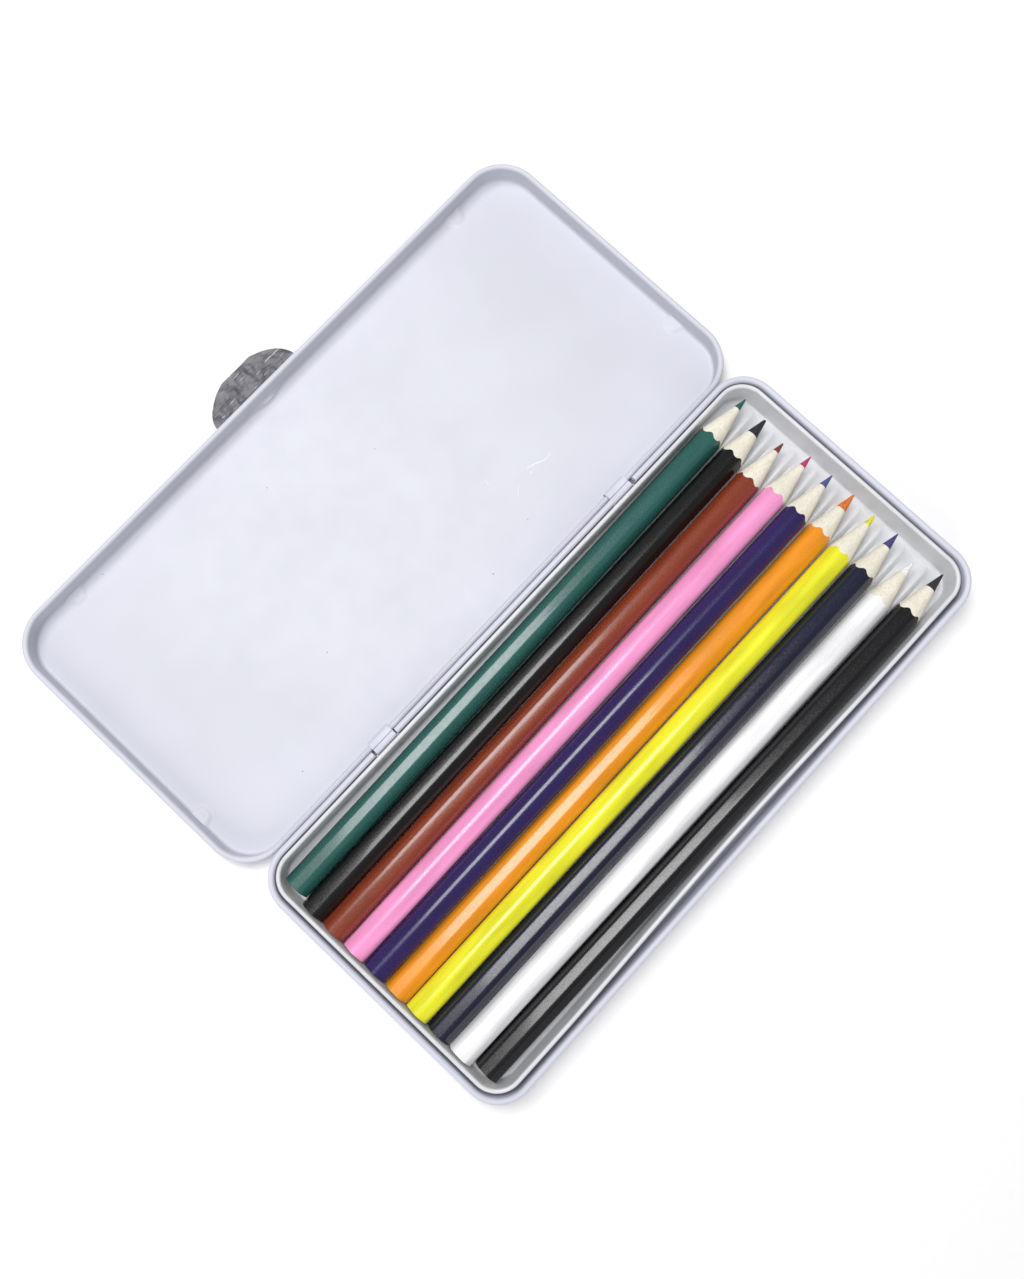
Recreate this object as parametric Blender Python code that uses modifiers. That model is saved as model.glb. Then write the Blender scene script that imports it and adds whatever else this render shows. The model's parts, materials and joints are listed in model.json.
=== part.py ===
"""Flat hinged tin for ten colouring pencils, with a loose thermoformed tray, open at 180 degrees.

The frame has its origin at the middle of the base's underside. +X runs along the tin towards the pencil
points, +Y runs across the hinge to the lid, and +Z is up. Sizes are in metres.
"""

import math

import bmesh
import bpy
from mathutils import Matrix, Vector

MM = 0.001

# Fits between pieces
GAP = 0.3 * MM  # between pieces that touch
CORE_GAP = 0.25 * MM  # round a lead in its bore
PENCIL_GAP = 0.25 * MM  # between two pencils at their butts
LID_PLAY = 0.4 * MM  # between the base's rolled rim and the lid's skirt

# Pencils, which the tray, the base and the lid are sized from
PENCIL_LENGTH = 176.0 * MM
PENCIL_FLATS = 6.5 * MM
PENCIL_EDGE = 0.5 * MM  # rounding of the six long edges
PENCIL_FAN = 0.42 * MM  # by which two neighbours stand further apart at their points
SHARPENING = math.radians(13)  # half angle of the cone
CORE_FINE = 2.2 * MM
CORE_THICK = 3.0 * MM

# From the hinge to the front: name, lacquer (sRGB), roll of the hexagon in degrees, core colour, core size
# and how much shorter it is than the clear length at its place in the tray
PENCILS = (
    ("green", "2B5A54", 2, "1F5B50", CORE_FINE, 0.1 * MM),
    ("black", "17171B", 26, "2A2A2D", CORE_THICK, 0.4 * MM),
    ("brown", "6E2E20", 5, "70392C", CORE_FINE, 2.6 * MM),
    ("pink", "F29BC8", 21, "B5366B", CORE_FINE, 0.6 * MM),
    ("violet", "2F2258", 26, "4A4F86", CORE_FINE, 0.5 * MM),
    ("orange", "EE9A2E", 4, "D5742A", CORE_THICK, 0.2 * MM),
    ("yellow", "E6E236", 26, "DFD420", CORE_FINE, 0.8 * MM),
    ("navy", "23243C", 8, "4A3F7A", CORE_FINE, 0.6 * MM),
    ("white", "F4F4F6", 12, "EFEFEA", CORE_FINE, 3.4 * MM),
    ("charcoal", "1C1C20", 17, "2E2C2E", CORE_FINE, 0.1 * MM),
)

# Tray
TRAY_SHEET = 0.3 * MM
TRAY_LIP_RADIUS = 0.6 * MM
TRAY_LIP_DROP = 0.8 * MM
TRAY_DRAFT = 0.3 * MM
TRAY_FOLD = 0.7 * MM
ROW_PLAY = 4.5 * MM  # that the tray leaves beside the row of pencils at their butts
RIDGE_HEIGHT = 1.2 * MM
RIDGE_BASE = 3.0 * MM
RIDGE_TOP = 0.7 * MM
RIDGE_FROM_WALL = 2.0 * MM

# Tin plate
SHEET = 0.3 * MM
CURL_RADIUS = 0.8 * MM  # outer radius of a rolled rim
CURL_TURN = math.radians(280)
FOLD_RADIUS = 1.2 * MM  # outer radius between a panel and its wall

# Base
TRAY_END_PLAY = 0.6 * MM
TRAY_FRONT_PLAY = 1.1 * MM
TRAY_DROP = 0.9 * MM  # of the tray's lip below the base's rim
CORNER_RADIUS = 10.0 * MM  # of the rim, seen from above
TRAY_CORNER_EXTRA = 0.8 * MM  # by which the tray's corner is tighter than the base's inside
HEADROOM = 2.65 * MM  # over the pencils in the closed tin

# Stops pressed into the fold of the lid, which hold it off the base's rim
STOP_HEIGHT = 0.8 * MM
STOP_WIDTH = 4.4 * MM
STOP_FROM_END = 21.2 * MM  # on the front side, from the lid's outer end
STOP_FROM_HINGE = 19.6 * MM  # on the short sides, from the rear wall
STOP_CEILING = 2.2 * MM  # height up the wall at which a stop has faded out
PANEL_BAND = 5.0 * MM  # flat strip inside the fold, into which the stops run out
THUMB_DENT_WIDTH = 16.0 * MM
THUMB_DENT_DEPTH = 0.9 * MM

# Hinge: a tongue of the base wraps the lid's rolled rim through a slot
HINGE_SPACING = 89.5 * MM
TONGUE_WIDTH = 7.0 * MM
TONGUE_BEND = 0.8 * MM
TONGUE_END = math.radians(-100)
NOTCH_RELIEF = 0.5 * MM
SLOT_RELIEF = 1.1 * MM
PIN_SKIRT = 0.35 * MM  # of the lid's wall left between its rolled rim and a slot

# Clear film left on the lid's front edge
FILM_THICKNESS = 0.3 * MM
FILM_HALF_WIDTH = 15.7 * MM
FILM_REACH = 12.0 * MM
FILM_LEG = 2.6 * MM
FILM_BEND = 0.5 * MM
FILM_ROUND = math.radians(80)  # how far round its half circle the film's edge is cut off

CORNER_STEPS = 6
CURL_STEPS = 8
FOLD_STEPS = 3
FILM_STEPS = 7
SMOOTH_ANGLE = math.radians(35)  # edges that turn by more than this stay sharp

HEX_RADIUS = (PENCIL_FLATS / 2 - PENCIL_EDGE) / math.cos(math.radians(30))


def pencil_half_width(roll):
    """Half of the width that a rolled pencil takes across the tray. A roll of 0 has an edge at the side."""
    return PENCIL_EDGE + max(HEX_RADIUS * math.cos(math.radians(roll + 60 * i)) for i in range(6))


# Across the tray
HALF_WIDTHS = [pencil_half_width(settings[2]) for settings in PENCILS]
ROW_WIDTH = 2 * sum(HALF_WIDTHS) + PENCIL_GAP * (len(PENCILS) - 1)
TRAY_INSET = 2 * TRAY_LIP_RADIUS + TRAY_DRAFT  # from the lip's outer edge in to the foot of the wall
TRAY_WIDTH = ROW_WIDTH + ROW_PLAY + 2 * TRAY_INSET
TRAY_LENGTH = PENCIL_LENGTH + 2 * GAP + 2 * TRAY_INSET

# Up from the table
TRAY_FLOOR_TOP = SHEET + GAP + TRAY_SHEET
PENCIL_AXIS_Z = TRAY_FLOOR_TOP + GAP + HEX_RADIUS + PENCIL_EDGE
CLOSED_HEIGHT = PENCIL_AXIS_Z + HEX_RADIUS + PENCIL_EDGE + HEADROOM + SHEET
BASE_HEIGHT = CLOSED_HEIGHT - SHEET - STOP_HEIGHT - GAP
TRAY_HEIGHT = BASE_HEIGHT - TRAY_DROP

# Base, over its rolled rim
CURL_MID = CURL_RADIUS - SHEET / 2
BASE_WALL = 2 * CURL_RADIUS - SHEET / 2  # from the rim's outer edge in to the middle of the wall
BASE_LENGTH = TRAY_LENGTH + 2 * TRAY_END_PLAY + 4 * CURL_RADIUS
BASE_WIDTH = TRAY_WIDTH + GAP + TRAY_FRONT_PLAY + 4 * CURL_RADIUS
TRAY_CORNER = CORNER_RADIUS - 2 * CURL_RADIUS - TRAY_CORNER_EXTRA
TRAY_Y = BASE_WIDTH / 2 - 2 * CURL_RADIUS - GAP - TRAY_WIDTH / 2

# Lid, to the middle of its wall, and its hinge
HINGE_Z = CLOSED_HEIGHT / 2
HINGE_Y = BASE_WIDTH / 2 + LID_PLAY + SHEET / 2 + CURL_MID
LOOP_MID = CURL_RADIUS + GAP + SHEET / 2
LID_CENTRE_Y = 2 * HINGE_Y
LID_HALF_X = BASE_LENGTH / 2 + LID_PLAY + SHEET / 2
LID_HALF_Y = BASE_WIDTH / 2 + LID_PLAY + SHEET / 2
LID_CORNER = CORNER_RADIUS + LID_PLAY + SHEET / 2


def clear_scene():
    """Remove every object, and add the collections of the tin and of its cutters."""
    for thing in list(bpy.data.objects):
        bpy.data.objects.remove(thing, do_unlink=True)
    parts = bpy.data.collections.new("pencil_tin")
    cutters = bpy.data.collections.new("cutters")
    cutters.hide_render = True
    for collection in (parts, cutters):
        bpy.context.scene.collection.children.link(collection)
    return parts, cutters


def linear(hex_colour):
    """Linear RGBA of an sRGB hex colour."""
    values = [int(hex_colour[i : i + 2], 16) / 255 for i in (0, 2, 4)]
    return [v / 12.92 if v <= 0.04045 else ((v + 0.055) / 1.055) ** 2.4 for v in values] + [1.0]


def material(name, hex_colour, roughness, alpha=1.0):
    """Principled material in one colour."""
    result = bpy.data.materials.new(name)
    result.use_nodes = True
    shader = result.node_tree.nodes["Principled BSDF"]
    shader.inputs["Base Color"].default_value = linear(hex_colour)
    shader.inputs["Roughness"].default_value = roughness
    shader.inputs["Alpha"].default_value = alpha
    return result


def add_object(name, mesh_edit, collection, look=None):
    """New object from a bmesh, which is freed."""
    mesh = bpy.data.meshes.new(name)
    mesh_edit.to_mesh(mesh)
    mesh_edit.free()
    mesh.shade_smooth()
    mesh.set_sharp_from_angle(angle=SMOOTH_ANGLE)
    thing = bpy.data.objects.new(name, mesh)
    collection.objects.link(thing)
    if look:
        mesh.materials.append(look)
    return thing


def add_empty(name, place, collection):
    """Empty on a joint's axis, for a moving piece to hang from."""
    empty = bpy.data.objects.new(name, None)
    empty.location = place
    empty.empty_display_size = 5 * MM
    collection.objects.link(empty)
    return empty


def hang_on(thing, empty):
    """Parent a piece to an empty, leaving the piece where it is."""
    thing.parent = empty
    thing.matrix_parent_inverse = Matrix.Translation(-Vector(empty.location))


def thicken(thing, thickness):
    """Make a shell of an open surface, half of the sheet on each side."""
    shell = thing.modifiers.new("sheet", "SOLIDIFY")
    shell.thickness = thickness
    shell.offset = 0
    shell.use_even_offset = True
    shell.use_quality_normals = True


def cut(thing, cutter, operation="DIFFERENCE"):
    """Boolean modifier with a cutter, which the build leaves out."""
    step = thing.modifiers.new(operation.lower(), "BOOLEAN")
    step.operation = operation
    step.solver = "EXACT"
    step.object = cutter
    cutter.hide_render = True
    cutter.display_type = "WIRE"


def outline(half_x, half_y, radius, outset, stops):
    """Rounded rectangle moved out by outset, with extra points at the stops along its four sides.

    It runs anticlockwise from the +X side. stops holds, for the +Y, -X, -Y and +X side, the places along
    that side in the order in which the outline passes them.
    """
    points = []
    centres = ((1, 1), (-1, 1), (-1, -1), (1, -1))
    for quarter, (sign_x, sign_y) in enumerate(centres):
        for step in range(CORNER_STEPS + 1):
            angle = math.radians(90) * (quarter + step / CORNER_STEPS)
            x = sign_x * (half_x - radius) + (radius + outset) * math.cos(angle)
            y = sign_y * (half_y - radius) + (radius + outset) * math.sin(angle)
            points.append((x, y))
        for place in stops[quarter]:
            if quarter % 2 == 0:
                points.append((place, sign_y * (half_y + outset)))
            else:
                points.append((sign_x * (half_x + outset), place))
    return points


def arc(centre, radius, start, end, steps):
    """Points of an arc in a profile, the first one left out."""
    angles = [start + (end - start) * (i + 1) / steps for i in range(steps)]
    return [(centre[0] + radius * math.cos(a), centre[1] + radius * math.sin(a)) for a in angles]


def pan_surface(profile, half_x, half_y, radius, stops, centre_y=0.0, is_open=None):
    """Open surface of a pan: a flat floor and, from it, one ring for each (outset, height) of the profile.

    is_open(ring, x, y) says where the surface between a ring and the next one is left out.
    """
    mesh_edit = bmesh.new()
    rings = []
    for outset, height in profile:
        points = outline(half_x, half_y, radius, outset, stops)
        rings.append([mesh_edit.verts.new((x, y + centre_y, height)) for x, y in points])
    mesh_edit.faces.new(list(reversed(rings[0])))
    for index, (low, high) in enumerate(zip(rings, rings[1:])):
        for i, start in enumerate(low):
            j = (i + 1) % len(low)
            middle = (start.co + low[j].co) / 2
            if is_open and is_open(index, middle.x, middle.y):
                continue
            mesh_edit.faces.new((start, low[j], high[j], high[i]))
    return mesh_edit


def curl_profile(wall_outset, centre_z):
    """Rim rolled outwards: an arc that leaves the wall's top, at the height of its centre."""
    centre = (wall_outset + CURL_MID, centre_z)
    return arc(centre, CURL_MID, math.pi, math.pi - CURL_TURN, CURL_STEPS)


def fold_profile(wall_outset, bottom):
    """Fold from a panel, whose middle is at the height bottom, up to a wall."""
    radius = FOLD_RADIUS - SHEET / 2
    centre = (wall_outset - radius, bottom + radius)
    return [(centre[0], bottom)] + arc(centre, radius, math.radians(-90), 0, FOLD_STEPS)


def tongue_profile():
    """Middle line of a hinge tongue in Y and Z, from the base's wall over and round the lid's rim."""
    wall_y = BASE_WIDTH / 2 - BASE_WALL
    top = HINGE_Z + LOOP_MID
    bend = arc((wall_y + TONGUE_BEND, top - TONGUE_BEND), TONGUE_BEND, math.pi, math.pi / 2, 3)
    loop = arc((HINGE_Y, HINGE_Z), LOOP_MID, math.pi / 2, TONGUE_END, 8)
    return bend + [(HINGE_Y, top)] + loop


def hinge_stops(*half_widths):
    """Places along a rear side at the given distances from the middle of each hinge, in falling X."""
    centres = (HINGE_SPACING / 2, -HINGE_SPACING / 2)
    places = [c + sign * half for c in centres for sign in (1, -1) for half in half_widths]
    return sorted(places, reverse=True)


def near_hinge(x, half_width):
    return abs(abs(x) - HINGE_SPACING / 2) < half_width


def base_pan(collection):
    """Base with its rolled rim, notched at each hinge for the tongue that is bent out of its wall."""
    root_z = HINGE_Z + LOOP_MID - TONGUE_BEND
    profile = fold_profile(-BASE_WALL, SHEET / 2)
    root_ring = len(profile)
    profile += [(-BASE_WALL, root_z), (-BASE_WALL, BASE_HEIGHT - CURL_RADIUS)]
    profile += curl_profile(-BASE_WALL, BASE_HEIGHT - CURL_RADIUS)
    notch = TONGUE_WIDTH / 2 + NOTCH_RELIEF

    def is_open(ring, x, y):
        return ring >= root_ring and y > 0 and near_hinge(x, notch)

    stops = (hinge_stops(TONGUE_WIDTH / 2, notch), (0,), (0,), (0,))
    surface = pan_surface(profile, BASE_LENGTH / 2, BASE_WIDTH / 2, CORNER_RADIUS, stops, 0, is_open)
    wall_y = BASE_WIDTH / 2 - BASE_WALL
    for side in (-1, 1):
        ends = [side * HINGE_SPACING / 2 + half for half in (TONGUE_WIDTH / 2, -TONGUE_WIDTH / 2)]
        row = [nearest(surface, (x, wall_y, root_z)) for x in ends]
        for y, z in tongue_profile():
            new_row = [surface.verts.new((x, y, z)) for x in ends]
            surface.faces.new((row[0], row[1], new_row[1], new_row[0]))
            row = new_row
    pan = add_object("base_pan", surface, collection, material("base enamel", "DCDDEB", 0.3))
    thicken(pan, SHEET)


def nearest(mesh_edit, place):
    """The surface's point at a place."""
    return min(mesh_edit.verts, key=lambda vert: (vert.co - Vector(place)).length)


def swell(along, width):
    """Rounded hump of the given width, 1 in its middle and 0 past its ends."""
    return math.cos(math.pi * along / width) ** 2 if abs(along) < width / 2 else 0.0


def press_stops(surface):
    """Push the lid's fold inwards at the four stops and, wider and lower, at the thumb dent."""
    front_y = LID_CENTRE_Y + LID_HALF_Y
    stop_x = LID_HALF_X + 2 * CURL_MID + SHEET / 2 - STOP_FROM_END
    stop_y = LID_CENTRE_Y - LID_HALF_Y + STOP_FROM_HINGE
    for vert in surface.verts:
        x, y, z = vert.co
        if z > STOP_CEILING - SHEET / 2:
            continue
        fade = 1 - (z - SHEET / 2) / STOP_CEILING
        if front_y - y < 2 * FOLD_RADIUS:
            push = STOP_HEIGHT * max(swell(x - stop_x, STOP_WIDTH), swell(x + stop_x, STOP_WIDTH))
            push += THUMB_DENT_DEPTH * swell(x, THUMB_DENT_WIDTH)
            vert.co.y -= push * fade
            vert.co.z += min(push, STOP_HEIGHT) * fade
        if LID_HALF_X - abs(x) < 2 * FOLD_RADIUS:
            push = STOP_HEIGHT * swell(y - stop_y, STOP_WIDTH)
            vert.co.x -= math.copysign(push * fade, x)
            vert.co.z += push * fade


def lid_shell(collection, hinge):
    """Lid, panel down, with its rear rim on the hinge axis and a slot under that rim at each hinge."""
    profile = [(-PANEL_BAND, SHEET / 2)] + fold_profile(0, SHEET / 2) + [(0, STOP_CEILING)]
    slot_top = HINGE_Z - PIN_SKIRT
    slot_bottom = HINGE_Z - LOOP_MID - SHEET / 2 - GAP
    slot_ring = len(profile)
    profile += [(0, slot_bottom), (0, slot_top), (0, HINGE_Z)]
    profile += curl_profile(0, HINGE_Z)
    slot = TONGUE_WIDTH / 2 + SLOT_RELIEF

    def is_open(ring, x, y):
        return ring == slot_ring and y < LID_CENTRE_Y and near_hinge(x, slot)

    outer_x = LID_HALF_X + 2 * CURL_MID + SHEET / 2
    across = [i / 4 * STOP_WIDTH for i in range(-2, 3)]
    front = [side * (outer_x - STOP_FROM_END) + s for side in (-1, 1) for s in across]
    front += [i / 6 * THUMB_DENT_WIDTH for i in range(-3, 4)]
    side_y = [s - LID_HALF_Y + STOP_FROM_HINGE for s in across]
    # The lid faces the base with its rear, so its +Y side is the front one.
    stops = (sorted(front, reverse=True), sorted(side_y, reverse=True), hinge_stops(slot)[::-1], side_y)
    surface = pan_surface(profile, LID_HALF_X, LID_HALF_Y, LID_CORNER, stops, LID_CENTRE_Y, is_open)
    press_stops(surface)
    lid = add_object("lid_shell", surface, collection, material("lid enamel", "E4E5EF", 0.3))
    thicken(lid, SHEET)
    hang_on(lid, hinge)


def film_tab(collection, hinge):
    """Half-round flap of clear film, with a leg up the outside of the lid's front wall."""
    leg_y = LID_CENTRE_Y + LID_HALF_Y + SHEET / 2 + GAP + FILM_THICKNESS / 2
    low = GAP + FILM_THICKNESS / 2
    leg = [(leg_y, low + FILM_LEG), (leg_y, low + FILM_BEND)]
    leg += arc((leg_y + FILM_BEND, low + FILM_BEND), FILM_BEND, math.pi, 1.5 * math.pi, FOLD_STEPS)
    rows = [(y, z, 1.0) for y, z in leg]
    for step in range(FILM_STEPS):
        angle = FILM_ROUND * (step + 1) / FILM_STEPS
        rows.append((leg_y + FILM_BEND + FILM_REACH * math.sin(angle), low, math.cos(angle)))
    surface = bmesh.new()
    grid = []
    for y, z, share in rows:
        half = FILM_HALF_WIDTH * share
        grid.append([surface.verts.new((half * (i / 2 - 1), y, z)) for i in range(5)])
    for low_row, high_row in zip(grid, grid[1:]):
        for i in range(4):
            surface.faces.new((low_row[i], low_row[i + 1], high_row[i + 1], high_row[i]))
    film = add_object("film_tab", surface, collection, material("clear film", "8C8C92", 0.2, 0.6))
    thicken(film, FILM_THICKNESS)
    hang_on(film, hinge)


def pencil_places():
    """Y at the butts of each pencil's axis, and of each boundary between two pencils."""
    edge = TRAY_Y + ROW_WIDTH / 2
    axes, boundaries = [], []
    for half in HALF_WIDTHS:
        axes.append(edge - half)
        edge -= 2 * half + PENCIL_GAP
        boundaries.append(edge + PENCIL_GAP / 2)
    return axes, boundaries[:-1]


def fan_angle(place):
    """Turn about Z of a pencil, where place counts pencils from the hinge and may be a half."""
    return math.atan(((len(PENCILS) - 1) / 2 - place) * PENCIL_FAN / PENCIL_LENGTH)


def clear_reach(y, half_width):
    """How far from the tray's middle an end may be, clear of the end wall and of the rounded corners."""
    corner = TRAY_CORNER - TRAY_INSET - GAP
    past_corner = abs(y - TRAY_Y) + half_width - (TRAY_WIDTH / 2 - TRAY_CORNER)
    round_reach = math.sqrt(corner**2 - past_corner**2) if past_corner > 0 else corner
    return TRAY_LENGTH / 2 - TRAY_CORNER + round_reach


def ridge(name, y, turn, inset, collection):
    """Ridge between two pencils. inset shrinks it to the hollow that it has underneath."""
    bottom = TRAY_FLOOR_TOP - TRAY_SHEET / 2 - 2 * inset
    start = -TRAY_LENGTH / 2 + TRAY_INSET
    near = TRAY_FOLD + RIDGE_FROM_WALL + inset
    far = TRAY_LENGTH - 2 * TRAY_INSET - near
    low_half = RIDGE_BASE / 2 - inset
    top_half = (RIDGE_TOP - inset) / 2
    sections = ((bottom, low_half, 0.0), (TRAY_FLOOR_TOP + RIDGE_HEIGHT - inset, top_half, RIDGE_HEIGHT))
    bar = bmesh.new()
    rings = []
    for z, half, back in sections:
        xs = (near + back, far - back)
        corners = ((xs[0], -half), (xs[1], -half), (xs[1], half), (xs[0], half))
        rings.append([bar.verts.new((x, across, z)) for x, across in corners])
    low, high = rings
    bar.faces.new(list(reversed(low)))
    bar.faces.new(high)
    for i in range(4):
        j = (i + 1) % 4
        bar.faces.new((low[i], low[j], high[j], high[i]))
    place = Matrix.Translation((start, y, 0)) @ Matrix.Rotation(turn, 4, "Z")
    bmesh.ops.transform(bar, matrix=place, verts=bar.verts)
    return add_object(name, bar, collection)


def joined_ridges(name, inset, collection):
    """All ridges as one cutter."""
    _, boundaries = pencil_places()
    together = bmesh.new()
    for index, y in enumerate(boundaries):
        bar = ridge(f"{name}_{index}", y, fan_angle(index + 0.5), inset, collection)
        together.from_mesh(bar.data)
        bpy.data.objects.remove(bar, do_unlink=True)
    return add_object(name, together, collection)


def insert_tray(collection, cutters, lift):
    """Thermoformed tray: drafted walls, a lip rolled outwards, and hollow ridges between the pencils."""
    wall = -2 * TRAY_LIP_RADIUS + TRAY_SHEET / 2
    foot = wall - TRAY_DRAFT
    lip_mid = TRAY_LIP_RADIUS - TRAY_SHEET / 2
    lip_z = TRAY_HEIGHT - TRAY_LIP_RADIUS
    floor_z = TRAY_FLOOR_TOP - TRAY_SHEET / 2
    profile = [(foot - TRAY_FOLD, floor_z)]
    profile += arc((foot - TRAY_FOLD, floor_z + TRAY_FOLD), TRAY_FOLD, math.radians(-90), 0, 2)
    profile += [(wall, lip_z)] + arc((wall + lip_mid, lip_z), lip_mid, math.pi, 0, 4)
    profile += [(profile[-1][0], lip_z - TRAY_LIP_DROP)]
    surface = pan_surface(profile, TRAY_LENGTH / 2, TRAY_WIDTH / 2, TRAY_CORNER, ((0,),) * 4, TRAY_Y)
    tray = add_object("insert_tray", surface, collection, material("tray plastic", "E8E9EF", 0.35))
    thicken(tray, TRAY_SHEET)
    cut(tray, joined_ridges("ridges", 0, cutters), "UNION")
    cut(tray, joined_ridges("ridge_hollows", TRAY_SHEET, cutters))
    hang_on(tray, lift)


def along_x(mesh_edit, start, end):
    """Turn a shape made along Z round the origin so that it runs along X from start to end."""
    turn = Matrix.Rotation(math.radians(90), 4, "Y")
    bmesh.ops.transform(mesh_edit, matrix=turn, verts=mesh_edit.verts)
    bmesh.ops.translate(mesh_edit, vec=((start + end) / 2, 0, 0), verts=mesh_edit.verts)


def hexagon_bar(length, roll):
    """Six-sided bar along X with rounded long edges, its butt at X = 0."""
    bar = bmesh.new()
    radius = PENCIL_FLATS / 2 / math.cos(math.radians(30))
    bmesh.ops.create_cone(bar, cap_ends=True, segments=6, radius1=radius, radius2=radius, depth=length)
    long_edges = [e for e in bar.edges if abs(e.verts[0].co.z - e.verts[1].co.z) > length / 2]
    offset = PENCIL_EDGE * math.tan(math.radians(30))
    bmesh.ops.bevel(bar, geom=long_edges, offset=offset, segments=2, profile=0.5, affect="EDGES")
    # The first edge stands on +Y, so a roll of 0 has an edge at the side.
    bmesh.ops.rotate(bar, matrix=Matrix.Rotation(math.radians(roll), 3, "Z"), verts=bar.verts)
    along_x(bar, 0, length)
    return bar


def turned(radius, start, end, segments):
    """Cylinder along X."""
    shape = bmesh.new()
    bmesh.ops.create_cone(
        shape, cap_ends=True, segments=segments, radius1=radius, radius2=radius, depth=end - start
    )
    along_x(shape, start, end)
    return shape


def sharpener(length):
    """Cone round a pencil's axis, with its point at the pencil's point."""
    reach = 1.5 * length
    cone = bmesh.new()
    bmesh.ops.create_cone(
        cone, cap_ends=True, segments=24, radius1=reach * math.tan(SHARPENING), radius2=0, depth=reach
    )
    along_x(cone, length - reach, length)
    return cone


def lead(core_size, length):
    """Round lead, sharpened at its end."""
    shoulder = length - core_size / 2 / math.tan(SHARPENING)
    rod = turned(core_size / 2, 0, shoulder, 12)
    cap = [f for f in rod.faces if all(v.co.x > length / 2 for v in f.verts)]
    point = bmesh.ops.poke(rod, faces=cap)["verts"]
    bmesh.ops.translate(rod, vec=(length - shoulder, 0, 0), verts=point)
    return rod


def pencil(name, lacquer, roll, core_colour, core_size, worn, y, turn, collection, cutters, tray_lift):
    """A casing, sharpened to a cone and bored, and its lead, both on an empty that lifts them."""
    back = clear_reach(y, pencil_half_width(roll))
    length = back + clear_reach(y + PENCIL_LENGTH * math.tan(turn), 0) - worn
    place = (-back, y, PENCIL_AXIS_Z)
    lift = add_empty(f"pencil_{name}_lift", place, collection)
    lift.rotation_euler.z = turn
    hang_on(lift, tray_lift)
    casing = add_object(
        f"pencil_{name}_casing", hexagon_bar(length, roll), collection, material(f"{name} lacquer", lacquer, 0.2)
    )
    cone = add_object(f"{name}_sharpener", sharpener(length), cutters)
    bore = add_object(f"{name}_bore", turned(core_size / 2 + CORE_GAP, -length, 2 * length, 12), cutters)
    core = add_object(
        f"pencil_{name}_core", lead(core_size, length), collection, material(f"{name} core", core_colour, 0.6)
    )
    cut(casing, cone, "INTERSECT")
    cut(casing, bore)
    for thing in (casing, cone, bore, core):
        thing.parent = lift


def build():
    parts, cutters = clear_scene()
    hinge = add_empty("lid_hinge_axis", (0, HINGE_Y, HINGE_Z), parts)
    tray_lift = add_empty("tray_lift_axis", (0, TRAY_Y, TRAY_FLOOR_TOP), parts)
    base_pan(parts)
    lid_shell(parts, hinge)
    film_tab(parts, hinge)
    insert_tray(parts, cutters, tray_lift)
    axes, _ = pencil_places()
    for index, (settings, y) in enumerate(zip(PENCILS, axes)):
        pencil(*settings, y, fan_angle(index), parts, cutters, tray_lift)
    bpy.context.view_layer.update()


build()
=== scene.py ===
"""Finished look of a flat hinged pencil tin, open, with its tray and ten colouring pencils.

Every piece is modelled here over the packed frame and rides on its body. The frame has its origin at the
middle of the base's underside, +X towards the pencil points, +Y across the hinge to the lid and +Z up.
"""

import json
import math

import bmesh
import bpy
from bpy.props import FloatProperty, FloatVectorProperty, IntProperty, PointerProperty
from mathutils import Matrix, Vector


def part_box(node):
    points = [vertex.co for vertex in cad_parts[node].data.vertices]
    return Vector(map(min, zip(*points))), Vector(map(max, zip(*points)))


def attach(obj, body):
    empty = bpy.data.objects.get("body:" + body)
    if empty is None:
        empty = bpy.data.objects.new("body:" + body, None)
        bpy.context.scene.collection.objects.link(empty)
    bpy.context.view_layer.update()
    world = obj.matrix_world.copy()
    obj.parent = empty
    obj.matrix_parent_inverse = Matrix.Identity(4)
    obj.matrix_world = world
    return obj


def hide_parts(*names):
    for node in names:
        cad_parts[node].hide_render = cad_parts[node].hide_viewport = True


bl_info = {
    "name": "Pencil tin",
    "version": (1, 0, 0),
    "blender": (4, 5, 0),
    "location": "View3D > Sidebar > Pencil tin",
    "description": "Models and finishes a hinged tin of colouring pencils",
    "category": "Object",
}

MM = 0.001
TINY = 0.02 * MM

# Rows of points that the stops and the thumb dent are pressed into: across the lid's panel, from its wall
# inwards, in mm, and up the wall, as heights in mm with the share of the dent that reaches them
PANEL_ROWS = (-6.5, -5.6, -5, -4.5, -4, -3.5, -3, -2.5, -2, -1.5)
WALL_ROWS = ((1.7, 0.3), (2.3, 0.15), (3.0, 0.1))
SLICES = 12  # across a stop or the dent
STOP_SHARE = 0.4  # of a stop's size that is pressed in all the way
STOP_SLOPE = 1.5 * MM  # width of the slope round a stop

# Hinges
NOTCH = 0.6 * MM  # cut out of the base's wall at each side of a tongue
SLOT_PLAY = 1.1 * MM  # that the lid's slot leaves at each side of a tongue
SLOT_DROP = 0.35 * MM  # from the middle of the lid's rim to the top of the slot
SCORE_LINE = ((-0.25, 0), (-0.1, 0.4), (0.1, 0.4), (0.25, 0))  # its section: place and depth in mm
SCORE_PLACE = 0.9  # of the score line before the hinge's axis, in mm

# Tray
FLOOR_EDGE = 1.6 * MM  # from the wall's foot to the flat floor
CONES = 14 * MM  # length of floor under the sharpened ends
RIDGE_TOP = 0.12  # half the width of a ridge's top, as a share of its foot
RIDGE_SHOULDER = 0.93  # height of that top's edges, as a share of the ridge
BOW_X = -4 * MM  # where the front lip bends in most
BOW_LENGTH = 120 * MM

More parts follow.
